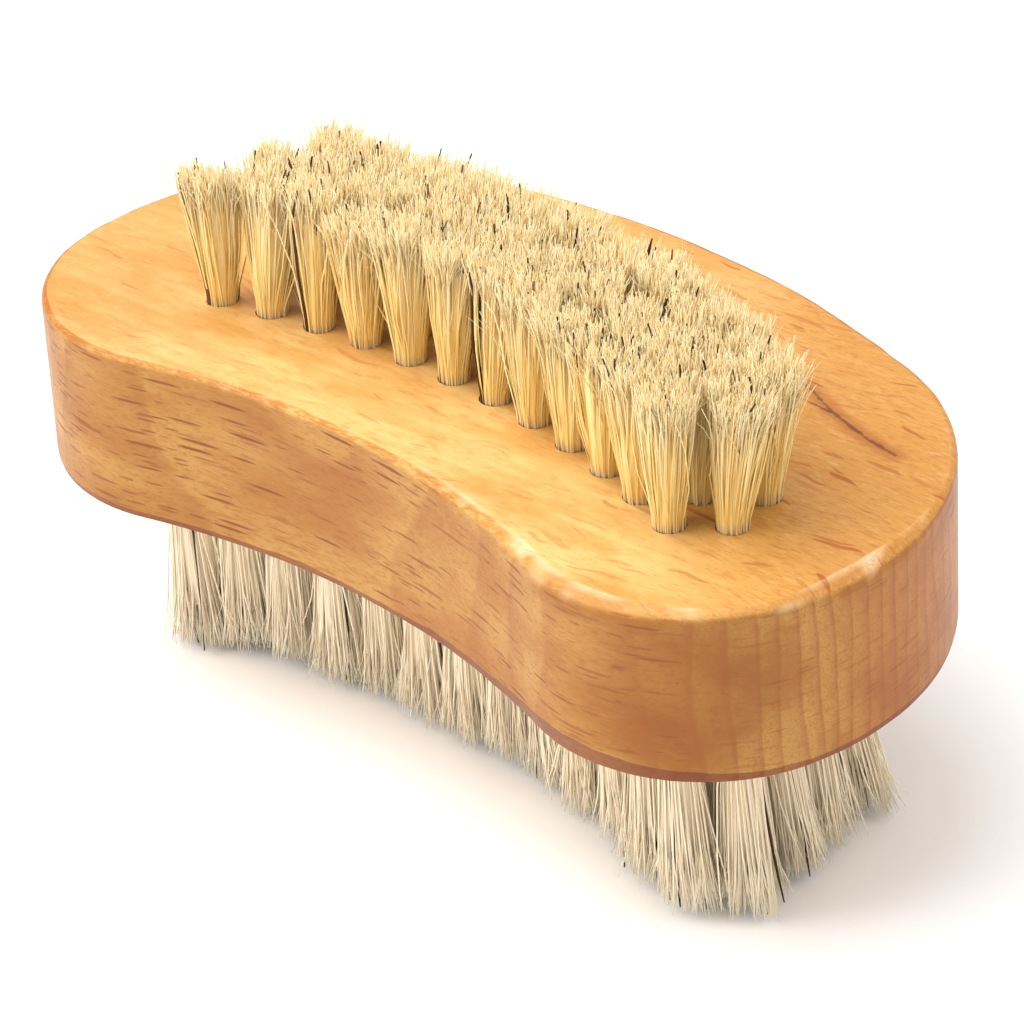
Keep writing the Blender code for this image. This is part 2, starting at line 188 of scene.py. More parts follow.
class Finish:
    """A material that is built one node at a time."""

    def __init__(self, name):
        self.material = bpy.data.materials.new(name)
        self.material.use_nodes = True
        self.tree = self.material.node_tree
        self.tree.nodes.clear()

    def node(self, kind, settings=None, values=None, output=0):
        """Adds a node, sets it up, feeds its sockets, and returns one output as a wire."""
        node = self.tree.nodes.new(kind)
        for name, value in (settings or {}).items():
            if name == "stops":
                self.set_stops(node.color_ramp, value)
            else:
                setattr(node, name, value)
        for name, value in (values or {}).items():
            socket = self.find(node.inputs, name)
            if isinstance(value, Wire):
                self.tree.links.new(value.socket, socket)
            else:
                socket.default_value = value
        return Wire(self, self.find(node.outputs, output) if node.outputs else None)

    @staticmethod
    def find(sockets, name):
        """A socket by its number, its identifier or its name."""
        if isinstance(name, int):
            return sockets[name]
        for socket in sockets:
            if socket.identifier == name:
                return socket
        return sockets[name]

    @staticmethod
    def set_stops(ramp, stops):
        """Gives a colour ramp its stops, each a place from 0 to 1 and a colour."""
        while len(ramp.elements) < len(stops):
            ramp.elements.new(1)
        for element, (place, colour) in zip(ramp.elements, stops):
            element.position = place
            element.color = (*colour, 1)

    def maths(self, operation, first, second):
        """A sum on two values."""
        return self.node("ShaderNodeMath", {"operation": operation}, {0: first, 1: second})

    def vector_maths(self, operation, first, second, output="Vector"):
        """A sum on two vectors, whose answer is a vector or one value."""
        return self.node("ShaderNodeVectorMath", {"operation": operation}, {0: first, 1: second}, output)

    def attribute(self, name):
        """A number that the mesh carries on its points."""
        return self.node("ShaderNodeAttribute", {"attribute_name": name}, {}, "Fac")

    def smooth(self, value, low, high, start=0.0, stop=1.0):
        """Goes softly from start to stop as the value goes from low to high."""
        return self.node(
            "ShaderNodeMapRange",
            {"interpolation_type": "SMOOTHSTEP"},
            {"Value": value, "From Min": low, "From Max": high, "To Min": start, "To Max": stop},
        )

    def mix(self, share, first, second, blend="MIX"):
        """Mixes two colours."""
        return self.node(
            "ShaderNodeMix",
            {"data_type": "RGBA", "blend_type": blend},
            {"Factor_Float": share, "A_Color": first, "B_Color": second},
            "Result_Color",
        )

    def scaled(self, place, scale, turn=(0, 0, 0)):
        """Scales a place and then turns it."""
        values = {"Vector": place, "Rotation": turn, "Scale": scale}
        return self.node("ShaderNodeMapping", {"vector_type": "POINT"}, values)

    def noise(self, place, detail=2.0, rough=0.5):
        """A cloudy value between 0 and 1."""
        values = {"Vector": place, "Scale": 1.0, "Detail": detail, "Roughness": rough}
        return self.node("ShaderNodeTexNoise", {"noise_dimensions": "3D"}, values)

    def noise_way(self, place, scale):
        """A slow noise in each of the three directions, between -0.5 and 0.5."""
        values = {"Vector": place, "Scale": scale}
        noisy = self.node("ShaderNodeTexNoise", {"noise_dimensions": "3D"}, values, "Color")
        return self.vector_maths("SUBTRACT", noisy, (0.5, 0.5, 0.5))

    def surface(self, values):
        """Ends the material in one Principled shader."""
        shader = self.node("ShaderNodeBsdfPrincipled", {}, values)
        self.node("ShaderNodeOutputMaterial", {}, {"Surface": shader})
        return self.material


print("material kit ready")

# %% [markdown]
# ## Beech
# Beech is a pale wood with faint rings and many rays, small ribbons that run out from the
# middle of the tree. On the walls of the block their ends show as short dark dashes, and on
# its flat faces as longer flecks. An image would stretch on the curved walls, so the wood is a
# solid pattern in the block's own coordinates, as if the bean were cut from a real board. The
# grain runs a few degrees off the long side.

# %% Beech colours
HONEY = (0.84, 0.545, 0.205, 1)
AMBER = (0.66, 0.335, 0.086, 1)
TOAST = (0.60, 0.265, 0.046, 1)
RUSSET = (0.36, 0.130, 0.036, 1)
FLECK_ORANGE = (0.40, 0.110, 0.014, 1)
RAY_BROWN = (0.23, 0.058, 0.012, 1)
CRACK_BROWN = (0.15, 0.043, 0.008, 1)
RING_BROWN = (0.30, 0.085, 0.013, 1)
PALE_FIBRE = (0.86, 0.58, 0.25, 1)
# Paler worn wood at the rim, which also paints the rim's glints
WORN_EDGE_AND_GLINT = (0.92, 0.70, 0.44, 1)
# Painted shade inside the drilled holes, on their bare wood
BORE_SHADE_DARK = (0.20, 0.085, 0.030, 1)
BORE_SHADE_PALE = (0.34, 0.16, 0.06, 1)
# The tints are multiplied into the wood under them. The wall tint is partly the side grain's own
# colour and partly painted shade; the rim, corner and cut tints are painted shade.
WALL_GRAIN_AND_SHADE = (0.585, 0.460, 0.280, 1)
END_TINT = (0.92, 0.69, 0.52, 1)
RIM_PAINTED_SHADE = (0.66, 0.44, 0.13, 1)
CORNER_PAINTED_SHADE = (0.74, 0.57, 0.44, 1)
CUT_PAINTED_SHADE = (0.56, 0.36, 0.24, 1)
print("honey:", HONEY[:3], "amber:", AMBER[:3])

# %% [markdown]
# Patterns count in millimetres, with X along the grain. A noise gets how many of its cells fit
# in a millimetre each way, so few along the grain make a streak. A mark gets the sides of its
# own cell in millimetres instead, because its shape is that of the cell.

# %% Beech patterns
PER_MM = 1000
GRAIN_TURN = math.radians(6)
RING_PITCH_MM = 1.7
RING_WANDER_MM = 5.0
RING_TREMBLE_MM = 0.20
RING_SLOPE = 0.05
WANDER_CELLS = (0.022, 0.10, 0.030)
TREMBLE_CELLS = (0.25, 0.5, 0.5)
BLOTCH_CELLS = (0.06, 0.15, 0.15)
STREAK_CELLS = (0.035, 0.60, 0.60)
MOTTLE_CELLS = (0.55, 1.3, 1.3)
FIBRE_CELLS = (0.9, 5.0, 5.0)
TORN_CELLS = (0.7, 0.7, 0.7)
BORE_CELLS = (2.0, 2.0, 6.0)
BEND_CELLS = 0.12
BEND_MM = (5, 5, 5)
# Each kind of mark: its cell, the least and the most that it reaches in cells, its turn, and
# the share of its reach where its edge starts to fade
LONG_DASHES = ((6.6, 5.0, 0.50), (0.06, 0.48), (0, math.radians(2), 0), 0.55)
SHORT_DASHES = ((3.6, 3.4, 0.42), (0.04, 0.42), (0, math.radians(1), 0), 0.55)
FLECKS = ((7.0, 0.85, 3.0), (0.04, 0.43), (0, 0, math.radians(-14)), 0.70)
# A dark crack at the right of the top and a shorter one beside it: points seen from above, in mm
CRACK = ((21.5, 12.3), (23.2, 12.4), (27.8, 10.5), (33.4, 9.1), (36.8, 8.7))
CRACK_WIDTH = 0.32
SIDE_CRACK = ((24.0, 10.5), (28.0, 10.4))
SIDE_CRACK_WIDTH = 0.24
RAGGED = 2.4  # how far the edge of a crack strays, in its own widths


def in_grain(wood):
    """Coordinates in millimetres whose X runs along the grain."""
    place = wood.node("ShaderNodeTexCoord", output="Object")
    return wood.scaled(place, (PER_MM, PER_MM, PER_MM), (0, 0, -GRAIN_TURN))


def part_of(wood, vector, axis):
    """One of the three numbers of a vector."""
    return wood.node("ShaderNodeSeparateXYZ", {}, {0: vector}, axis)


def rings(wood, grain):
    """The growth rings: how late in its year the wood grew, and the thin dark line that ends it."""
    wander = wood.noise(wood.scaled(grain, WANDER_CELLS)) * RING_WANDER_MM
    tremble = wood.noise(wood.scaled(grain, TREMBLE_CELLS)) * RING_TREMBLE_MM
    across = part_of(wood, grain, "Y") + RING_SLOPE * part_of(wood, grain, "Z") + wander + tremble
    year = wood.node("ShaderNodeMath", {"operation": "FRACT"}, {0: across / RING_PITCH_MM})
    late = wood.smooth(year, 0.15, 0.88) * wood.smooth(year, 0.90, 1.0, 1.0, 0.0)
    line = wood.smooth(year, 0.68, 0.86) * wood.smooth(year, 0.88, 1.0, 1.0, 0.0)
    return late, line


def dashes(wood, grain, cell, size, turn, solid):
    """Scattered slim marks. The middle of each is the point of one cell of a Voronoi pattern."""
    place = wood.scaled(grain, tuple(1 / side for side in cell), turn)
    settings = {"voronoi_dimensions": "3D", "feature": "F1"}
    values = {"Vector": place, "Scale": 1.0}
    distance = wood.node("ShaderNodeTexVoronoi", settings, values, "Distance")
    chance = wood.node("ShaderNodeTexVoronoi", settings, values, "Color")
    least, most = size
    reach = wood.node("ShaderNodeSeparateColor", {}, {0: chance}, "Red") * (most - least) + least
    strength = wood.node("ShaderNodeSeparateColor", {}, {0: chance}, "Green") * 0.75 + 0.25
    return wood.smooth(distance, reach, reach * solid) * strength


def crack(wood, points, width):
    """A thin mark along points on the top, in millimetres, and a darker band beside it."""
    place = wood.scaled(wood.node("ShaderNodeTexCoord", output="Object"), (PER_MM, PER_MM, PER_MM))
    distances = []
    for (x, y), (next_x, next_y) in zip(points, points[1:]):
        step = (next_x - x, next_y - y, 0)
        away = wood.vector_maths("SUBTRACT", place, (x, y, BLOCK_TOP * PER_MM))
        along = wood.vector_maths("DOT_PRODUCT", away, step, "Value")
        clamped = {"operation": "DIVIDE", "use_clamp": True}
        share = wood.node("ShaderNodeMath", clamped, {0: along, 1: step[0] ** 2 + step[1] ** 2})
        foot = wood.node("ShaderNodeVectorMath", {"operation": "SCALE"}, {0: step, "Scale": share}, "Vector")
        distances.append(wood.vector_maths("DISTANCE", away, foot, "Value"))
    nearest = distances[0]
    for distance in distances[1:]:
        nearest = wood.maths("MINIMUM", nearest, distance)
    torn = wood.noise(wood.scaled(place, TORN_CELLS), 3.0, 0.65)
    ragged = nearest + (torn - 0.45) * width * RAGGED
    return wood.smooth(ragged, width, width * 0.2), wood.smooth(ragged, width * 5, width)


print("ring pitch in mm:", RING_PITCH_MM)

# %% [markdown]
# A solid pattern has no faces of its own, so the way that the surface faces picks the zones:
# flat, wall, end, rounded rim and the cut at the bottom. The others come from the place on the
# block: the top is darkened towards its left and right ends, around a painted sheen along its
# middle, and the walls at the front corner get painted shade.

# %% Zones and marks
FRONT_CORNER_MM = (39.0, -27.0, 29.0)  # in the coordinates of the grain
FRONT_CORNER_REACH_MM = 12.5


def zones_of(wood, grain):
    """Shares from 0 to 1 that say which way the wood faces and where on the block it is."""
    normal = wood.node("ShaderNodeNewGeometry", output="Normal")
    upright = part_of(wood, normal, "Z")
    lengthwise = part_of(wood, normal, "X")
    along = part_of(wood, grain, "X")
    back = part_of(wood, grain, "Y")
    from_corner = wood.vector_maths("DISTANCE", grain, FRONT_CORNER_MM, "Value")
    flat = wood.smooth(upright * upright, 0.06, 0.42)
    wall = 1 - flat
    end = wood.smooth(lengthwise * lengthwise, 0.08, 0.65) * wall
    return SimpleNamespace(
        flat=flat,
        wall=wall,
        end=end,
        back_of_end=wood.smooth(back, -20, -8) * end,
        # The walls at the front corner, which get painted shade
        corner=wood.smooth(from_corner, FRONT_CORNER_REACH_MM, 3) * wall,
        # The rounded top rim, which gets painted shade
        rim=wood.smooth(upright, 0.99, 0.93) * wood.smooth(upright, 0.0, 0.3) * flat,
        # The cut at the bottom rim, which faces down and gets painted shade
        cut=wood.smooth(upright, -0.08, -0.24) * wall,
        # Places towards the ends of the block; the top is darkened there, around a painted sheen in its
        # middle
        left=wood.smooth(along, -24.0, -46.0),
        right=wood.smooth(along, 11.0, 43.0),
        right_and_back=wood.smooth(along + 0.7 * back, 9.0, 36.0),
    )


def marks_of(wood, grain, zone):
    """Dashes on the walls, flecks on the flat faces, cracks in the top and the wood beside them."""
    long_dashes = dashes(wood, grain, *LONG_DASHES)
    short_dashes = dashes(wood, grain, *SHORT_DASHES) * 0.8
    bend = wood.scaled(wood.noise_way(grain, BEND_CELLS), BEND_MM)
    flecks = dashes(wood, wood.vector_maths("ADD", grain, bend), *FLECKS)
    long_crack, beside = crack(wood, CRACK, CRACK_WIDTH)
    short_crack, _ = crack(wood, SIDE_CRACK, SIDE_CRACK_WIDTH)
    return SimpleNamespace(
        dashes=wood.maths("MAXIMUM", long_dashes, short_dashes) * zone.wall,
        flecks=flecks * (0.40 + 0.60 * zone.right_and_back) * zone.flat,
        cracks=wood.maths("MAXIMUM", long_crack, short_crack) * zone.flat,
        beside=beside * zone.flat,
    )


print("reach of the dark front corner in mm:", FRONT_CORNER_REACH_MM)

# %% [markdown]
# The colour is a stack, like the coats of a real finish: each layer is a share, a colour and how
# it is laid on the ones under it. The large clouds come first, and the worn edge with its painted
# glints comes last. Some layers paint light and shade: the top is darkened at its ends around a
# painted sheen, the walls partly with painted shade, and the rounded rim, the front corner and the
# cut at the bottom with painted shade.

# %% Beech finish


def beech(name):
    """Beech with rings, fibres, dashes on its walls and flecks on its flat faces."""
    wood = Finish(name)
    grain = in_grain(wood)
    zone = zones_of(wood, grain)
    marks = marks_of(wood, grain, zone)
    flat, wall = zone.flat, zone.wall
    blotch = wood.noise(wood.scaled(grain, BLOTCH_CELLS), 3.0)
    streak = wood.noise(wood.scaled(grain, STREAK_CELLS), 3.0)
    mottle = wood.noise(wood.scaled(grain, MOTTLE_CELLS), 4.0, 0.6)
    fibre = wood.noise(wood.scaled(grain, FIBRE_CELLS), 3.0, 0.65)
    late, line = rings(wood, grain)

    # Noise that breaks up the painted shade on the rounded rim
    rim_shade_breakup = wood.smooth(mottle + fibre, 0.78, 1.12, 0.50, 1.0)
    line_strength = wood.smooth(streak, 0.35, 0.65, 0.5, 1.0) * (0.03 * flat + 0.10 * wall + 0.34 * zone.end)
    fibre_strength = 0.48 * wall + (0.20 + 0.30 * zone.right_and_back) * flat
    ring_colour = wood.mix(wall, RUSSET, RING_BROWN)
    fibre_colour = wood.mix(wall, FLECK_ORANGE, RING_BROWN)
    layers = (
        # Darker towards the left and right ends of the top: the lighter middle is a painted sheen
        ((zone.right_and_back * 0.9 + zone.left * 0.65) * flat, TOAST, "MIX"),
        (wood.smooth(streak, 0.50, 0.72, 0.0, 0.45), AMBER, "MIX"),
        (wood.smooth(mottle, 0.50, 0.70, 0.0, 0.50), AMBER, "MIX"),
        (wood.smooth(mottle, 0.47, 0.32, 0.0, 0.20), PALE_FIBRE, "MIX"),
        # Darker, redder walls: partly the side grain's own colour, partly painted shade
        (wall, WALL_GRAIN_AND_SHADE, "MULTIPLY"),
        (zone.back_of_end, END_TINT, "MULTIPLY"),
        # Painted shade on the walls at the front corner
        (zone.corner, CORNER_PAINTED_SHADE, "MULTIPLY"),
        # Painted shade on the rounded top rim, broken up by noise and weaker at the right
        (zone.rim * (1 - zone.right * 0.8) * rim_shade_breakup, RIM_PAINTED_SHADE, "MULTIPLY"),
        (late * (0.08 * flat + 0.28 * wall), ring_colour, "MIX"),
        (line * line_strength, ring_colour, "MIX"),
        (wood.smooth(fibre, 0.46, 0.70) * fibre_strength, fibre_colour, "MIX"),
        # Painted shade on the cut at the bottom rim, which faces down
        (zone.cut, CUT_PAINTED_SHADE, "MULTIPLY"),
        (marks.flecks * 0.95, FLECK_ORANGE, "MIX"),
        (marks.dashes * (1 - 0.60 * zone.end), RAY_BROWN, "MIX"),
        (marks.beside * 0.65, FLECK_ORANGE, "MIX"),
        (marks.cracks * 0.85, CRACK_BROWN, "MIX"),
        # Paler worn wood at the top rim, which also paints its glints
        (wood.attribute("worn") * wood.smooth(fibre, 0.35, 0.60, 0.4, 1.0), WORN_EDGE_AND_GLINT, "MIX"),
    )
    colour = wood.mix(wood.smooth(blotch, 0.38, 0.66), HONEY, AMBER)
    for share, layer, blend in layers:
        colour = wood.mix(share, colour, layer, blend)

    rays = marks.flecks + marks.dashes
    height = fibre * 0.6 + mottle * 0.4 - rays * 0.6 - marks.cracks
    relief = wood.node("ShaderNodeBump", {}, {"Height": height, "Strength": 0.30, "Distance": 0.00014})
    return wood.surface({
        "Base Color": colour,
        "Roughness": 0.36 + fibre * 0.18 + rays * 0.12,
        "Normal": relief,
        "Specular IOR Level": 0.24,
        "Coat Weight": 0.10,
        "Coat Roughness": 0.22,
    })


def bored_wood_in_shade(name):
    """The bare wood inside the drilled holes, painted darker for the shade in them."""
    wood = Finish(name)
    torn = wood.noise(wood.scaled(in_grain(wood), BORE_CELLS), 3.0)
    colour = wood.mix(wood.smooth(torn, 0.3, 0.7), BORE_SHADE_DARK, BORE_SHADE_PALE)
    return wood.surface({"Base Color": colour, "Roughness": 0.8})


BEECH = beech("beech")
BORED_IN_SHADE = bored_wood_in_shade("bored_beech_in_shade")
print("beech nodes:", len(BEECH.node_tree.nodes))

# %% [markdown]
# ## The block
# A maker saws the bean from a board, sands its walls square and breaks its edges by hand. The
# outline is drawn the way a compass would: one point is spun about the centre of each arc,
# and the half is mirrored. The walls are then drawn up in a few steps, which leaves enough
# points for the small unevenness of hand sanding.

# %% Outline
WAIST_STEPS = 40
CORNER_STEPS = 24
END_STEPS = 36
BACK_STEPS = 34
WELD = 0.000001


def points_of(items):
    return [item for item in items if isinstance(item, bmesh.types.BMVert)]


def draw_arc(mesh, tip, centre, angle, steps):
    """Spins the last point about a centre, and returns the far end of the arc."""
    spun = bmesh.ops.spin(mesh, geom=[tip], cent=centre, axis=(0, 0, 1), angle=angle, steps=steps)
    return points_of(spun["geom_last"])[0]


def draw_outline(mesh):
    """The closed outline of the block at the height zero, from the middle of the waist."""
    quarter = math.pi / 2
    tip = mesh.verts.new((0, 0, 0))
    tip = draw_arc(mesh, tip, WAIST, heading(CORNER - WAIST) - quarter, WAIST_STEPS)
    tip = draw_arc(mesh, tip, CORNER, heading(CORNER - END) - heading(WAIST - CORNER), CORNER_STEPS)
    tip = draw_arc(mesh, tip, END, heading(END - BACK) - heading(CORNER - END), END_STEPS)
    draw_arc(mesh, tip, BACK, quarter - heading(END - BACK), BACK_STEPS)
    bmesh.ops.mirror(mesh, geom=mesh.verts[:] + mesh.edges[:], merge_dist=WELD, axis="X")
    bmesh.ops.remove_doubles(mesh, verts=mesh.verts, dist=WELD)


block = bmesh.new()
draw_outline(block)
depths = [point.co.y for point in block.verts]
CENTRING = Vector((0, -(max(depths) + min(depths)) / 2, 0))
ROW_CENTRE = WAIST + CENTRING
bmesh.ops.translate(block, verts=block.verts, vec=CENTRING + Vector((0, 0, BLOCK_BOTTOM)))
outline = [point.co.copy() for point in block.verts]
print("outline points:", len(outline), "edges:", len(block.edges))

# %% Walls and flat faces
WALL_LEVELS = (0.0014, 0.0038, 0.0060, 0.0083, 0.0108, 0.0131, 0.0149, 0.0165)


def at_height(item, height):
    """Whether an edge or a face lies level at this height."""
    return all(abs(point.co.z - height) < WELD for point in item.verts)


bottom_rim = block.edges[:]
rim = bottom_rim
for level in WALL_LEVELS:
    drawn = bmesh.ops.extrude_edge_only(block, edges=rim)["geom"]
    for point in points_of(drawn):
        point.co.z = BLOCK_BOTTOM + level
    edges = [item for item in drawn if isinstance(item, bmesh.types.BMEdge)]
    rim = [edge for edge in edges if at_height(edge, BLOCK_BOTTOM + level)]
bmesh.ops.contextual_create(block, geom=rim)
bmesh.ops.contextual_create(block, geom=bottom_rim)
bmesh.ops.recalc_face_normals(block, faces=block.faces)
print("block faces before its edges are broken:", len(block.faces))

# %% [markdown]
# ## Broken edges
# The top rim is rounded with a bevel, and the bottom rim is cut with a flat one. A bevel is even
# all the way round, and a hand with sandpaper isn't, so each point near a rim is then moved by a
# slow noise that makes the bevel wider here and narrower there. It is widest at the front corner
# on the right. No point moves past the outline, so the block never grows.

# %% Break the rims
TOP_BEVEL = 0.0013
BOTTOM_BEVEL = 0.0011
TOP_SEGMENTS = 3
BOTTOM_SEGMENTS = 1
FLAT_MARGIN = 0.0003


def break_rim(mesh, height, size, segments):
    """Rounds one rim of the block, then insets its flat face a little, so that it shades flat."""
    bmesh.ops.bevel(
        mesh,
        geom=[edge for edge in mesh.edges if at_height(edge, height)],
        offset=size,
        offset_type="OFFSET",
        segments=segments,
        profile=0.5,
        affect="EDGES",
        material=-1,
        clamp_overlap=False,
    )
    level_faces = [face for face in mesh.faces if at_height(face, height)]
    flat_face = max(level_faces, key=lambda face: face.calc_area())
    bmesh.ops.inset_region(mesh, faces=[flat_face], thickness=FLAT_MARGIN, use_even_offset=True)


break_rim(block, BLOCK_TOP, TOP_BEVEL, TOP_SEGMENTS)
break_rim(block, BLOCK_BOTTOM, BOTTOM_BEVEL, BOTTOM_SEGMENTS)
print("block faces with broken rims:", len(block.faces))

# %% Sand it by hand
RIM_WAVE = 75
CHIP_WAVE = 420
WALL_WAVE = 45
RIM_NOISE_START = Vector((3.1, 0.7, 0))
WALL_SANDING = 0.00006
RIM_SUPPORT = 0.0004  # wall beside a bevel that moves with it
TOP_SHARE = 0.50  # of the full bevel, before the noise and the wear
BOTTOM_SHARE = 0.25
WAVE_SHARE = 0.22
CHIP_SHARE = 0.10
LEAST_SHARE = 0.3
MOST_SHARE = 1.1
CUT_RISE = 1.85  # the cut at the bottom rim is taller than it is deep
CUT_INSET = 0.45
# Where the rim is worn most, and where its glints are painted: the place, how far that reaches, and how much
# it widens the bevel
WORN_AND_GLINT_PLACES = ((Vector((0.028, -0.0215, 0)), 0.024, 0.75), (Vector((0.046, -0.0085, 0)), 0.013, 0.60))


def outline_tree(points):
    tree = kdtree.KDTree(len(points))
    for number, point in enumerate(points):
        tree.insert(Vector((point.x, point.y, 0)), number)
    tree.balance()
    return tree


def outward_at(tree, level):
    """How far inside the outline a point is, seen from above, and the way out."""
    near = [Vector(found[0]) for found in tree.find_n(level, 2)]
    along = (near[1] - near[0]).normalized()
    out = Vector((along.y, -along.x, 0))
    if out.dot(near[0]) < 0 and abs(near[0].y) > WALL_SANDING:
        out = -out
    return (near[0] - level).dot(out), out


def clamp(value, low, high):
    return max(low, min(high, value))


def bevel_share(level, wave, chips, share, worn_places):
    """How wide the bevel is at a place, as a share of its full width."""
    wear = max(0.0, *(most * (1 - (level - place).length / reach) for place, reach, most in worn_places))
    return clamp(share + WAVE_SHARE * wave + CHIP_SHARE * chips + wear, LEAST_SHARE, MOST_SHARE)


def sand(mesh, tree):
    """Makes the bevels uneven and the walls a little wavy, and notes where the top rim is worn and where its
    glints are painted.
    """
    worn = mesh.verts.layers.float.new("worn")
    for point in mesh.verts:
        level = Vector((point.co.x, point.co.y, 0))
        inset, out = outward_at(tree, level)
        below_top = BLOCK_TOP - point.co.z
        above_bottom = point.co.z - BLOCK_BOTTOM
        wave = noise.noise(level * RIM_WAVE + RIM_NOISE_START)
        chips = noise.noise(level * CHIP_WAVE)
        if below_top < TOP_BEVEL + RIM_SUPPORT and inset < TOP_BEVEL + FLAT_MARGIN + WELD:
            share = bevel_share(level, wave, chips, TOP_SHARE, WORN_AND_GLINT_PLACES)
            point.co += out * inset * (1 - share)
            point.co.z += below_top * (1 - share)
            # Paler worn wood along the top rim, which also paints its glints
            if below_top < WELD and inset < TOP_BEVEL + WELD:
                point[worn] = clamp(share - 0.70 + 0.8 * chips, 0.0, 0.8)
            elif WELD < below_top < TOP_BEVEL - WELD:
                point[worn] = clamp(2.0 * chips + 1.6 * share - 2.0, 0.0, 0.7)
        elif above_bottom < BOTTOM_BEVEL + RIM_SUPPORT and inset < BOTTOM_BEVEL + FLAT_MARGIN + WELD:
            share = bevel_share(level, wave, chips, BOTTOM_SHARE, WORN_AND_GLINT_PLACES[:1])
            point.co += out * inset * (1 - share * CUT_INSET)
            point.co.z -= above_bottom * (1 - share * CUT_RISE)
        if inset < WELD:
            point.co -= out * WALL_SANDING * max(0.0, noise.noise(point.co * WALL_WAVE))


sand(block, outline_tree(outline))
bmesh.ops.recalc_face_normals(block, faces=block.faces)
print("sanded points:", len(block.verts))

# %% [markdown]
# ## Drilled holes
# Every tuft sits in its own hole. The holes are cut from the block with one Boolean, because
# a drill takes wood away in the same manner. The drills have their own material, which the
# Boolean leaves on the walls of the holes, so they are darker than the face: bare wood with
# painted shade.

# %% Places of the tufts
HOLE_SIDES = 24


def row_angles(ends, shift_angle):
    """The angle of each tuft of a row from the line through the middle of the waist."""
    first, last = ends
    return [(first + step) * PITCH_ANGLE + shift_angle for step in range(round(last - first) + 1)]


def tuft_frame(row, angle, height):
    """A tuft's own axes: its X runs along the row, its Y to the back, and its Z is up."""
    turn = Matrix.Rotation(-angle, 4, "Z")
    out = turn @ Vector((0, FRONT_ROW_RADIUS + row * ROW_PITCH, 0))
    return Matrix.Translation(Vector((ROW_CENTRE.x, ROW_CENTRE.y, height)) + out) @ turn


def places(rows, height, shift_angle):
    """For each row, the angle and the frame of each of its tufts."""
    return [
        [(angle, tuft_frame(row, angle, height)) for angle in row_angles(ends, shift_angle)]
        for row, ends in enumerate(rows)
    ]


top_places = places(TOP_ROWS, BLOCK_TOP, SHIFT_ANGLE)
bottom_places = places(BOTTOM_ROWS, BLOCK_BOTTOM, -SHIFT_ANGLE)
print("holes above:", [len(row) for row in top_places], "below:", [len(row) for row in bottom_places])

# %% Drill


def piece_from(mesh, name, *materials):
    """A named object at the origin with this mesh, which is then freed."""
    data = bpy.data.meshes.new(name)
    mesh.to_mesh(data)
    mesh.free()
    for material in materials:
        data.materials.append(material)
    thing = bpy.data.objects.new(name, data)
    bpy.context.scene.collection.objects.link(thing)
    return thing


drills = bmesh.new()
for _, place in [tuft for row in top_places + bottom_places for tuft in row]:
    bmesh.ops.create_cone(
        drills,
        cap_ends=True,
        segments=HOLE_SIDES,
        radius1=HOLE_RADIUS,
        radius2=HOLE_RADIUS,
        depth=2 * HOLE_DEPTH,
        matrix=place,
    )
drill_piece = piece_from(drills, "drills", BORED_IN_SHADE)
block_piece = piece_from(block, "beech_block", BEECH, BORED_IN_SHADE)
cut = block_piece.modifiers.new("drilled", "BOOLEAN")
cut.operation = "DIFFERENCE"
cut.solver = "EXACT"
cut.material_mode = "TRANSFER"
cut.object = drill_piece
evaluated = block_piece.evaluated_get(bpy.context.evaluated_depsgraph_get())
drilled = bpy.data.meshes.new_from_object(evaluated)
block_piece.modifiers.clear()
block_piece.data = drilled
bpy.data.objects.remove(drill_piece)
print("drilled block faces:", len(drilled.polygons), "materials:", [m.name for m in drilled.materials])

# %% [markdown]
# The walls shade smoothly, and the holes keep sharp mouths. A rounded rim turns only a little
# from one strip to the next, so its level edges are marked by a smaller angle than the rest.

# %% Shade the block
SHARP_ANGLE = math.radians(35)
CRISP_ANGLE = math.radians(8)
LEVEL_SHARE = 0.35
CUT_TOP = BLOCK_BOTTOM + BOTTOM_BEVEL * CUT_RISE * 1.2  # with a fifth to spare for the noise

drilled.polygons.foreach_set("use_smooth", [True] * len(drilled.polygons))
drilled.set_sharp_from_angle(angle=SHARP_ANGLE)
crisp = bmesh.new()
crisp.from_mesh(drilled)
for edge in crisp.edges:
    height = (edge.verts[0].co.z + edge.verts[1].co.z) / 2
    level = abs((edge.verts[0].co - edge.verts[1].co).normalized().z) < LEVEL_SHARE
    at_rim = BLOCK_TOP - height < WELD or height < CUT_TOP
    if at_rim and level and edge.calc_face_angle(0) > CRISP_ANGLE:
        edge.smooth = False
crisp.to_mesh(drilled)
crisp.free()
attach(block_piece, "root")
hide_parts("wood_block")
print("points of the block:", len(drilled.vertices))

# %% [markdown]
# ## Bristle
# Natural bristle is cream with some golden, some brown and a few black hairs. Each hair is
# painted greyish where it is pressed into its hole, for the shade there; it is warm and glassy
# half way up, which is partly its own colour and partly a painted glow of light through the
# bundle; and it is pale at its split tip. Two values ride on every point of a hair: its tone,
# which is one number for the whole hair, and its place along the hair. The material reads only
# these two.

# %% Bristle finish
TONES = (
    (0.00, (0.020, 0.010, 0.006)),
    (0.03, (0.050, 0.022, 0.010)),
    (0.05, (0.170, 0.080, 0.030)),
    (0.07, (0.92, 0.61, 0.19)),
    (0.30, (0.95, 0.69, 0.25)),
    (0.65, (0.97, 0.76, 0.33)),
    (1.00, (0.98, 0.83, 0.45)),
)
DARK_TONES = 0.05
LIGHT_TONES = 0.07
# The golden warmth low on a hair is partly its own colour and partly a painted glow of light through the
# bundle
GOLDEN_AND_GLOW = (0.94, 0.64, 0.18, 1)
PALE_TIP = (0.89, 0.765, 0.51, 1)
PALE_HAIR = (1.0, 0.89, 0.70, 1)
# Painted shade where the hairs go into their holes
ROOT_SHADE_GREY = (0.70, 0.55, 0.36, 1)


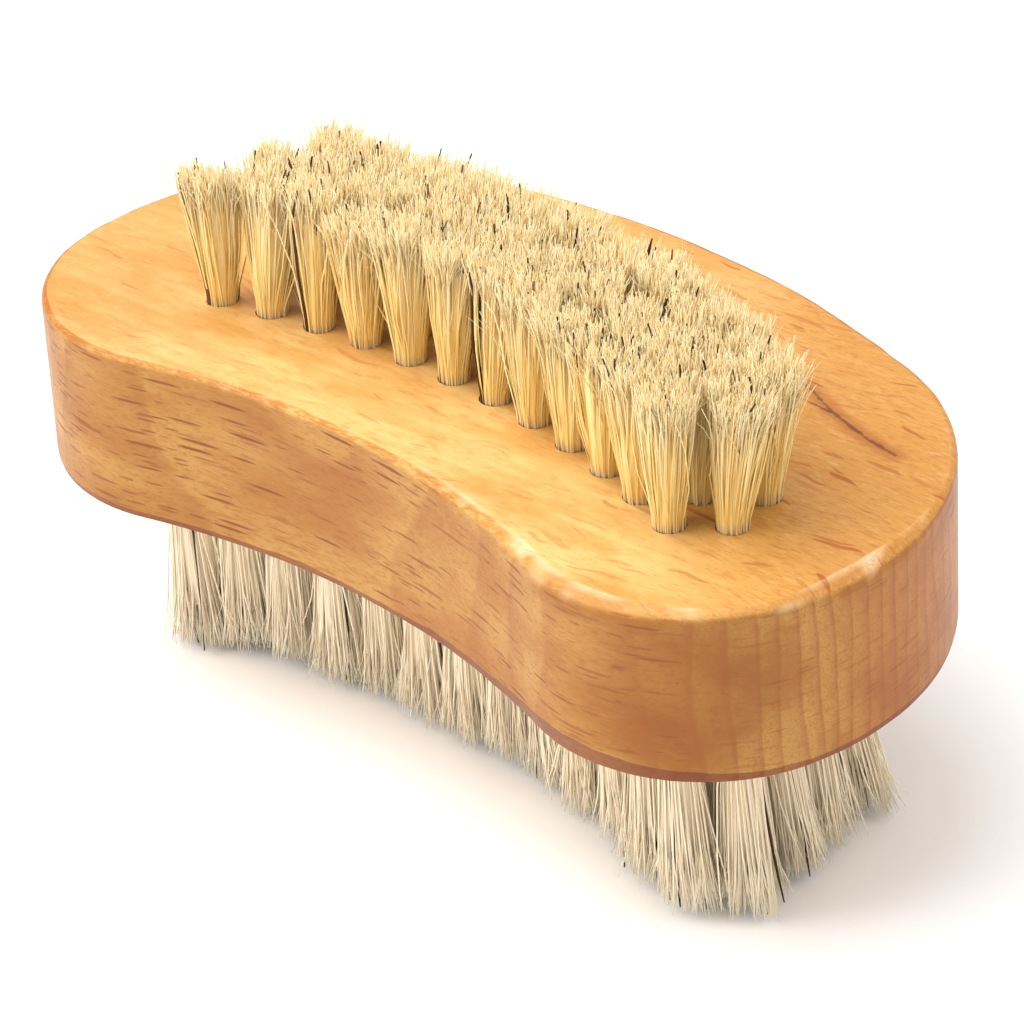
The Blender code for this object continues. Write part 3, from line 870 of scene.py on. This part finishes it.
def bristle(name, paler, tip_share):
    """Bristle whose tone and shade come from the two values on its points."""
    hair = Finish(name)
    tone = hair.attribute("tone")
    along = hair.attribute("along")
    light_hair = hair.smooth(tone, DARK_TONES, 0.08)
    paling = hair.smooth(along, 0.45, 1.0, 0.0, tip_share) * hair.smooth(tone, 0.1, 0.9, 0.4, 1.0)
    colour = hair.node("ShaderNodeValToRGB", {"stops": TONES}, {0: tone}, "Color")
    layers = (
        # Warm lower half: partly the hair's own colour, partly a painted glow of light through the bundle
        (hair.smooth(along, 0.55, 0.20, 0.0, 0.45), GOLDEN_AND_GLOW),
        (paler, PALE_HAIR),
        (paling, PALE_TIP),
        # Painted shade at the roots, where the hairs go into their holes
        (hair.smooth(along, 0.25, 0.15, 0.0, 0.65), ROOT_SHADE_GREY),
    )
    for share, layer in layers:
        colour = hair.mix(light_hair * share, colour, layer)
    return hair.surface({
        "Base Color": colour,
        "Roughness": 0.46 + 0.12 * tone,
        "Specular IOR Level": 0.16,
    })


BRISTLE_ABOVE = bristle("bristle_above", 0.0, 0.80)
BRISTLE_BELOW = bristle("bristle_below", 0.90, 0.0)
print("bristle finishes ready")

# %% [markdown]
# ## Tufts
# A tuft is a bundle of some hundreds of hairs, folded over a flat wire and pulled into its hole.
# A hair system would do for a picture, but it isn't a mesh, so each hair is a slim tube with
# three sides. The hairs stand like the seeds of a sunflower, lean together in a few locks, and
# curl near their tips. Natural bristle splits there, so finer ends start part of the way up. A
# few hairs are dark and thick, and a few stray from the bundle.

# %% Hairs
STRANDS = 330
SPLIT_ENDS = 230
STRAND_RADIUS = 0.000083
ROOT_SHARE = 0.17  # the share of a hair's length that is hidden in its hole
PACK_RADIUS = HOLE_RADIUS - 0.00017
GOLDEN_ANGLE = math.pi * (3 - math.sqrt(5))
LOCKS = 7
LOCK_PULL = (0.05, 0.42)  # how far a lock draws its tips together
LOCK_SHORTER = 0.0007
TIP_SCATTER = 0.00032
SHORTER = 0.00055
BOW = 0.00024
CURL = 0.00038
THICKNESS = (0.78, 1.18)
STRAY_SHARE = 0.035
STRAY_REACH = 0.0019
STRAY_SHORTER = 0.0022
DARK_SHARE = 0.011
DARK_THICKNESS = (1.4, 2.4)
DARK_SHORTER = 0.0008
SPLIT_START = (0.76, 0.90)
SPLIT_REACH = (-0.0010, 0.0004)  # how far a split end falls short of its hair, or passes it
SPLIT_SPREAD = 0.00055
SPLIT_THICKNESS = 0.40
SPLIT_TONES = (0.8, 1)
NOWHERE = Vector((0, 0, 0))


def scatter(chance, size):
    """A level vector with a random way and a length about this size."""
    return Vector((chance.gauss(0, size), chance.gauss(0, size), 0))


@dataclass
class Hair:
    """One hair: where it stands, where its tip is, how it bows, and how long, dark and thick it is."""

    root: Vector
    tip: Vector
    bow: Vector
    reach: float
    tone: float
    thick: float
    start: float = 0.0
    split: Vector = NOWHERE
    curl: Vector = NOWHERE

    def middle(self, share):
        """The middle of the hair at a share of its length. A split end starts part of the way up."""
        here = self.start + (1 - self.start) * share
        if here < ROOT_SHARE:
            return self.root + Vector((0, 0, -self.reach * (ROOT_SHARE - here)))
        rise = (here - ROOT_SHARE) / (1 - ROOT_SHARE)
        ease = 0.72 * rise + 0.28 * rise**2
        aside = self.bow * math.sin(math.pi * rise) + self.split * share**1.5 + self.curl * rise**8
        return self.root.lerp(self.tip, ease) + aside + Vector((0, 0, self.reach * rise))


def around(angle, width):
    """A level way out from the middle, on an ellipse of this width."""
    return Vector((math.cos(angle) * width.x, math.sin(angle) * width.y, 0))


def locks_of(chance, spread):
    """Where the locks of a tuft gather, how strongly, and how much shorter they are."""
    locks = []
    for number in range(LOCKS):
        angle = number * GOLDEN_ANGLE + chance.uniform(0, 1)
        centre = around(angle, spread) * math.sqrt((number + 0.5) / LOCKS)
        locks.append((centre, chance.uniform(*LOCK_PULL), chance.uniform(0, LOCK_SHORTER)))
    return locks


def whole_hairs(chance, length, lean, spread):
    """The hairs of one tuft, laid out like the seeds of a sunflower."""
    locks = locks_of(chance, spread)
    hairs = []
    for number in range(STRANDS):
        ring = math.sqrt((number + 0.5) / STRANDS)
        way = around(number * GOLDEN_ANGLE + chance.uniform(-0.2, 0.2), Vector((1, 1, 0)))
        tip = Vector((way.x * spread.x, way.y * spread.y, 0)) * ring
        centre, pull, short = min(locks, key=lambda lock: (lock[0] - tip).length)
        tip = tip.lerp(centre, pull) + lean + scatter(chance, TIP_SCATTER)
        hair = Hair(
            root=way * PACK_RADIUS * ring,
            tip=tip,
            reach=length - short - abs(chance.gauss(0, SHORTER)),
            bow=scatter(chance, BOW),
            tone=chance.uniform(LIGHT_TONES, 1),
            thick=chance.uniform(*THICKNESS),
            curl=scatter(chance, CURL),
        )
        if chance.random() < STRAY_SHARE:
            hair.tip += Vector((chance.uniform(-1, 1), chance.uniform(-1, 1), 0)) * STRAY_REACH
            hair.bow *= 3.0
            hair.reach -= chance.uniform(0, STRAY_SHORTER)
        if chance.random() < DARK_SHARE:
            hair.tone = chance.random() * DARK_TONES
            hair.thick = chance.uniform(*DARK_THICKNESS)
            hair.reach = length - chance.uniform(0, DARK_SHORTER)
        hairs.append(hair)
    return hairs


def split_ends(chance, length, hairs):
    """Finer ends that leave some of the hairs part of the way up."""
    ends = []
    for _ in range(SPLIT_ENDS):
        whole = chance.choice(hairs)
        reach = whole.reach + chance.uniform(*SPLIT_REACH)
        ends.append(Hair(
            root=whole.root,
            tip=whole.tip,
            bow=whole.bow,
            reach=min(reach, length),
            tone=chance.uniform(*SPLIT_TONES),
            thick=SPLIT_THICKNESS,
            start=chance.uniform(*SPLIT_START),
            split=scatter(chance, SPLIT_SPREAD),
            curl=whole.curl,
        ))
    return ends


print("hairs and split ends of a tuft:", STRANDS, SPLIT_ENDS)

# %% [markdown]
# All the hairs of a tuft are drawn at once: their small sections are laid out in the hole, and
# every section is drawn up a step at a time along its own path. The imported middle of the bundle
# is one solid core, because no light gets between the hairs there. Light also soaks through a
# bundle of fine hair, so it shades as one round thing more than as separate wires. Each point
# therefore keeps the way it faces, which leans from its own towards that of its whole tuft.

# %% Grow a tuft
HAIR_STEPS = ((0.0, 1.0), (0.24, 1.0), (0.52, 1.0), (0.78, 0.95), (0.90, 0.85), (1.0, 0.50))
SPLIT_STEPS = ((0.0, 1.0), (0.5, 0.9), (1.0, 0.5))
CORE_SIDES = 22
CORE_STEPS = (0.0, 0.17, 0.30, 0.43, 0.56, 0.70, 0.82)
CORE_SHARES = (0.95, 0.95, 0.94, 0.91, 0.86, 0.78, 0.62)  # of the bundle's own width
CORE_TONES = (0.25, 0.90)
CORE_UNEVEN = 0.02
OWN_SHADE = (0.45, 1.0)  # how much a hair faces its own way, at its foot and at its tip
TRIAL_SPREAD = Vector((0.0026, 0.0023, 0))


def add_core(tuft, layers, chance, length, lean, spread):
    """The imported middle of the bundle, where no light gets between the hairs."""
    ring = bmesh.ops.create_circle(tuft, cap_ends=True, segments=CORE_SIDES, radius=PACK_RADIUS)["verts"]
    ways = [point.co.normalized() for point in ring]
    for point in ring:
        point[layers["tone"]] = chance.uniform(*CORE_TONES)
        point[layers["corner"]] = 0.5
    cap = ring[0].link_faces[0]
    for step, (share, width) in enumerate(zip(CORE_STEPS, CORE_SHARES)):
        if step > 0:
            cap = bmesh.ops.extrude_discrete_faces(tuft, faces=[cap])["faces"][0]
        for point, way in zip(cap.verts, ways):
            tip = Vector((way.x * spread.x, way.y * spread.y, 0)) * width + lean
            edge = Hair(way * PACK_RADIUS * width, tip, NOWHERE, length, 0, 0)
            point.co = edge.middle(share + chance.uniform(-CORE_UNEVEN, CORE_UNEVEN) * (step > 1))
            point[layers["along"]] = share


def grow_hairs(tuft, layers, chance, hairs, steps):
    """Draws these hairs up together, a step at a time."""
    caps = []
    for number, hair in enumerate(hairs):
        foot = hair.middle(0)
        turn = chance.uniform(0, math.tau)
        radius = STRAND_RADIUS * hair.thick
        angles = [turn + corner * math.tau / 3 for corner in range(3)]
        ring = [tuft.verts.new(foot + Vector((math.cos(a), math.sin(a), 0)) * radius) for a in angles]
        caps.append(tuft.faces.new(ring))
        caps[-1][layers["owner"]] = number
        for corner, point in enumerate(ring):
            point[layers["tone"]] = hair.tone
            point[layers["along"]] = hair.start
            point[layers["corner"]] = corner / 3
    for (before, thick), (after, thinner) in zip(steps, steps[1:]):
        caps = bmesh.ops.extrude_discrete_faces(tuft, faces=caps)["faces"]
        for cap in caps:
            hair = hairs[cap[layers["owner"]]]
            old_middle = hair.middle(before)
            new_middle = hair.middle(after)
            for point in cap.verts:
                point.co = new_middle + (point.co - old_middle) * thinner / thick
                point[layers["along"]] = hair.start + (1 - hair.start) * after


def face_as_bundle(tuft, layers, place, length, lean):
    """Moves a tuft to its place, and notes on each point the way that it is shaded to face."""
    facing = tuft.verts.layers.float_vector.new("facing")
    turn = place.to_3x3()
    axis = Hair(NOWHERE, lean, NOWHERE, length, 0, 0)
    for point in tuft.verts:
        away = point.co - axis.middle(point[layers["along"]])
        point[facing] = turn @ Vector((away.x, away.y, 0)).normalized()
    bmesh.ops.transform(tuft, matrix=place, verts=tuft.verts)
    bmesh.ops.recalc_face_normals(tuft, faces=tuft.faces)
    for point in tuft.verts:
        own = OWN_SHADE[0] + (OWN_SHADE[1] - OWN_SHADE[0]) * point[layers["along"]] ** 1.5
        point[facing] = point[facing].lerp(point.normal, min(own, 1.0)).normalized()


def grow(chance, place, length, lean, spread):
    """A mesh of one tuft, in the brush's frame."""
    hairs = whole_hairs(chance, length, lean, spread)
    ends = split_ends(chance, length, hairs)
    tuft = bmesh.new()
    layers = {name: tuft.verts.layers.float.new(name) for name in ("tone", "along", "corner")}
    layers["owner"] = tuft.faces.layers.int.new("owner")
    grow_hairs(tuft, layers, chance, hairs, HAIR_STEPS)
    grow_hairs(tuft, layers, chance, ends, SPLIT_STEPS)
    add_core(tuft, layers, chance, length, lean, spread)
    open_edges = [edge for edge in tuft.edges if edge.is_boundary]
    bmesh.ops.holes_fill(tuft, edges=open_edges, sides=CORE_SIDES)
    face_as_bundle(tuft, layers, place, length, lean)
    return tuft


trial = grow(random.Random(SEED), Matrix(), TOP_LENGTH, NOWHERE, TRIAL_SPREAD)
open_count = sum(edge.is_boundary for edge in trial.edges)
print("faces of one tuft:", len(trial.faces), "still open edges:", open_count)
trial.free()

# %% [markdown]
# ## A map for the bristles
# A hair's colour depends on nothing but its tone and the place along it. So its faces are
# unwrapped as a chart: the tone picks one of sixty-four columns, and the place along the hair
# is the height in it. Hairs of one tone lie on top of each other there, which does no harm.

# %% Unwrap and shade the hairs
COLUMNS = 64


def values_of(data, name):
    """One value from each point of a mesh."""
    values = np.zeros(len(data.vertices), np.float32)
    data.attributes[name].data.foreach_get("value", values)
    return values


def chart_hairs(data):
    """Rounds the tones to the columns of the chart, and unwraps a mesh of hairs into it."""
    tones = np.round(values_of(data, "tone") * (COLUMNS - 1)) / (COLUMNS - 1)
    data.attributes["tone"].data.foreach_set("value", tones)
    points = np.zeros(len(data.loops), np.int32)
    data.loops.foreach_get("vertex_index", points)
    tone, along, corner = (values_of(data, name)[points] for name in ("tone", "along", "corner"))
    column = np.floor(tone * (COLUMNS - 1) + 0.5)
    across = (column + 0.15 + 0.9 * corner) / COLUMNS
    up = 0.01 + 0.96 * along + 0.02 * corner
    chart = data.uv_layers.new(name="OFBake")
    chart.data.foreach_set("uv", np.stack([across, up], 1).astype(np.float32).ravel())


def shade_as_bundle(data):
    """Gives a mesh of hairs the facing that was kept on its points as its shading normals."""
    facing = np.zeros(len(data.vertices) * 3, np.float32)
    data.attributes["facing"].data.foreach_get("vector", facing)
    data.polygons.foreach_set("use_smooth", [True] * len(data.polygons))
    data.normals_split_custom_set_from_vertices(facing.reshape(-1, 3))
    for name in ("facing", "corner", "owner"):
        data.attributes.remove(data.attributes[name])


print("columns of the chart:", COLUMNS)

# %% [markdown]
# ## Rows
# A row is one piece. Its tufts differ in width, length and lean, and the ends of a row lean
# outwards. A row below is made like one above and turned over.

# %% Rows of tufts
SIDE_FAN = 0.0006
TIP_SPREAD = 0.60  # half the width of a tuft's tips, as a share of its own cell
SPREAD_RANGE = (0.84, 1.14)
DRIFT = 0.00042
TUFT_SHORTER = 0.0005
TOP_LONGER = 0.0004  # single hairs reach a little past the plain tufts above
BOTTOM_SHORTER = 0.0002  # and stop just short of the floor below
# The lean is that of the tips to +X, and then how much they lean out at the ends of a row
ABOVE = SimpleNamespace(
    rows=TOP_ROWS,
    length=TOP_LENGTH + TOP_LONGER,
    lean=(0.0014, 0.0004),
    material=BRISTLE_ABOVE,
    turned=Matrix(),
)
BELOW = SimpleNamespace(
    rows=BOTTOM_ROWS,
    length=BOTTOM_LENGTH - BOTTOM_SHORTER,
    lean=(0.0022, 0.0011),
    material=BRISTLE_BELOW,
    turned=Matrix.Diagonal((1, 1, -1, 1)),
)


def lean_of(side, row, angle):
    """How far a tuft's tips lean, along its row and from row to row."""
    along = side.lean[0] + side.lean[1] * angle / ROW_END_ANGLE
    across = SIDE_FAN * (row - (len(side.rows) - 1) / 2)
    return Vector((along, across, 0))


def row_of_tufts(name, side, row, row_places, replaced):
    """One piece with every tuft of a row, which stands for the plain solids there."""
    joined = bmesh.new()
    cell = Vector(((FRONT_ROW_RADIUS + row * ROW_PITCH) * PITCH_ANGLE, ROW_PITCH, 0))
    for number, (angle, place) in enumerate(row_places):
        chance = random.Random(f"{SEED} {name} {number}")
        spread = cell * TIP_SPREAD * chance.uniform(*SPREAD_RANGE)
        drift = scatter(chance, DRIFT)
        length = side.length - chance.uniform(0, TUFT_SHORTER)
        tuft = grow(chance, place @ side.turned, length, lean_of(side, row, angle) + drift, spread)
        part = bpy.data.meshes.new("tuft")
        tuft.to_mesh(part)
        tuft.free()
        joined.from_mesh(part)
        bpy.data.meshes.remove(part)
    piece = piece_from(joined, name, side.material)
    chart_hairs(piece.data)
    shade_as_bundle(piece.data)
    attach(piece, "root")
    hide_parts(*replaced)
    print(name, "faces:", len(piece.data.polygons))


def tuft_solids(row_name, count):
    """The names of the plain solids of a row."""
    return [f"{row_name}_{number + 1:02d}" for number in range(count)]


for row, row_name in enumerate(("front", "middle", "back")):
    solids = tuft_solids(f"top_tuft_{row_name}", len(top_places[row]))
    row_of_tufts(f"top_bristles_{row_name}", ABOVE, row, top_places[row], solids)

# %% The longer rows below
for row, row_places in enumerate(bottom_places):
    solids = [f"bottom_row_{row + 1}"] if row else tuft_solids("bottom_tuft_front", len(row_places))
    row_of_tufts(f"bottom_bristles_row_{row + 1}", BELOW, row, row_places, solids)

# %% [markdown]
# ## Floor and light
# The floor is plain and almost white, and large enough that its edge is never seen. One wide
# soft lamp hangs above the hollow side, so the top is bright, the front wall is half lit and
# the right end is in its own shade. A lamp at the left opens up the wall and the lower bristles,
# a weak one behind lights the tips, and the pale sky fills the rest.

# %% Studio
FLOOR_HALF = 3.0
FLOOR_WHITE = (0.96, 0.96, 0.96, 1)
SKY_STRENGTH = 0.78

floor_mesh = bmesh.new()
bmesh.ops.create_grid(floor_mesh, x_segments=1, y_segments=1, size=FLOOR_HALF)
floor_finish = Finish("floor").surface({"Base Color": FLOOR_WHITE, "Roughness": 0.9})
floor = piece_from(floor_mesh, "floor", floor_finish)


def soft_lamp(name, towards, distance, size, power):
    """A square soft lamp that looks at the brush."""
    data = bpy.data.lights.new(name, "AREA")
    data.shape = "SQUARE"
    data.size = size
    data.energy = power
    lamp = bpy.data.objects.new(name, data)
    way = Vector(towards).normalized()
    stand = Matrix.Translation(CAMERA_TARGET + way * distance)
    lamp.matrix_world = stand @ way.to_track_quat("Z", "Y").to_matrix().to_4x4()
    bpy.context.scene.collection.objects.link(lamp)


soft_lamp("key_lamp", (-0.35, -0.30, 1.0), 0.9, 0.9, 8.2)
soft_lamp("back_lamp", (0.8, 0.6, 0.9), 1.0, 0.5, 1.7)
soft_lamp("left_lamp", (-0.60, -0.80, 0.35), 1.1, 0.6, 3.9)

world = bpy.data.worlds.new("pale_sky")
world.use_nodes = True
world.node_tree.nodes["Background"].inputs["Color"].default_value = (1, 1, 1, 1)
world.node_tree.nodes["Background"].inputs["Strength"].default_value = SKY_STRENGTH
bpy.context.scene.world = world
bpy.context.scene.view_settings.view_transform = "Standard"
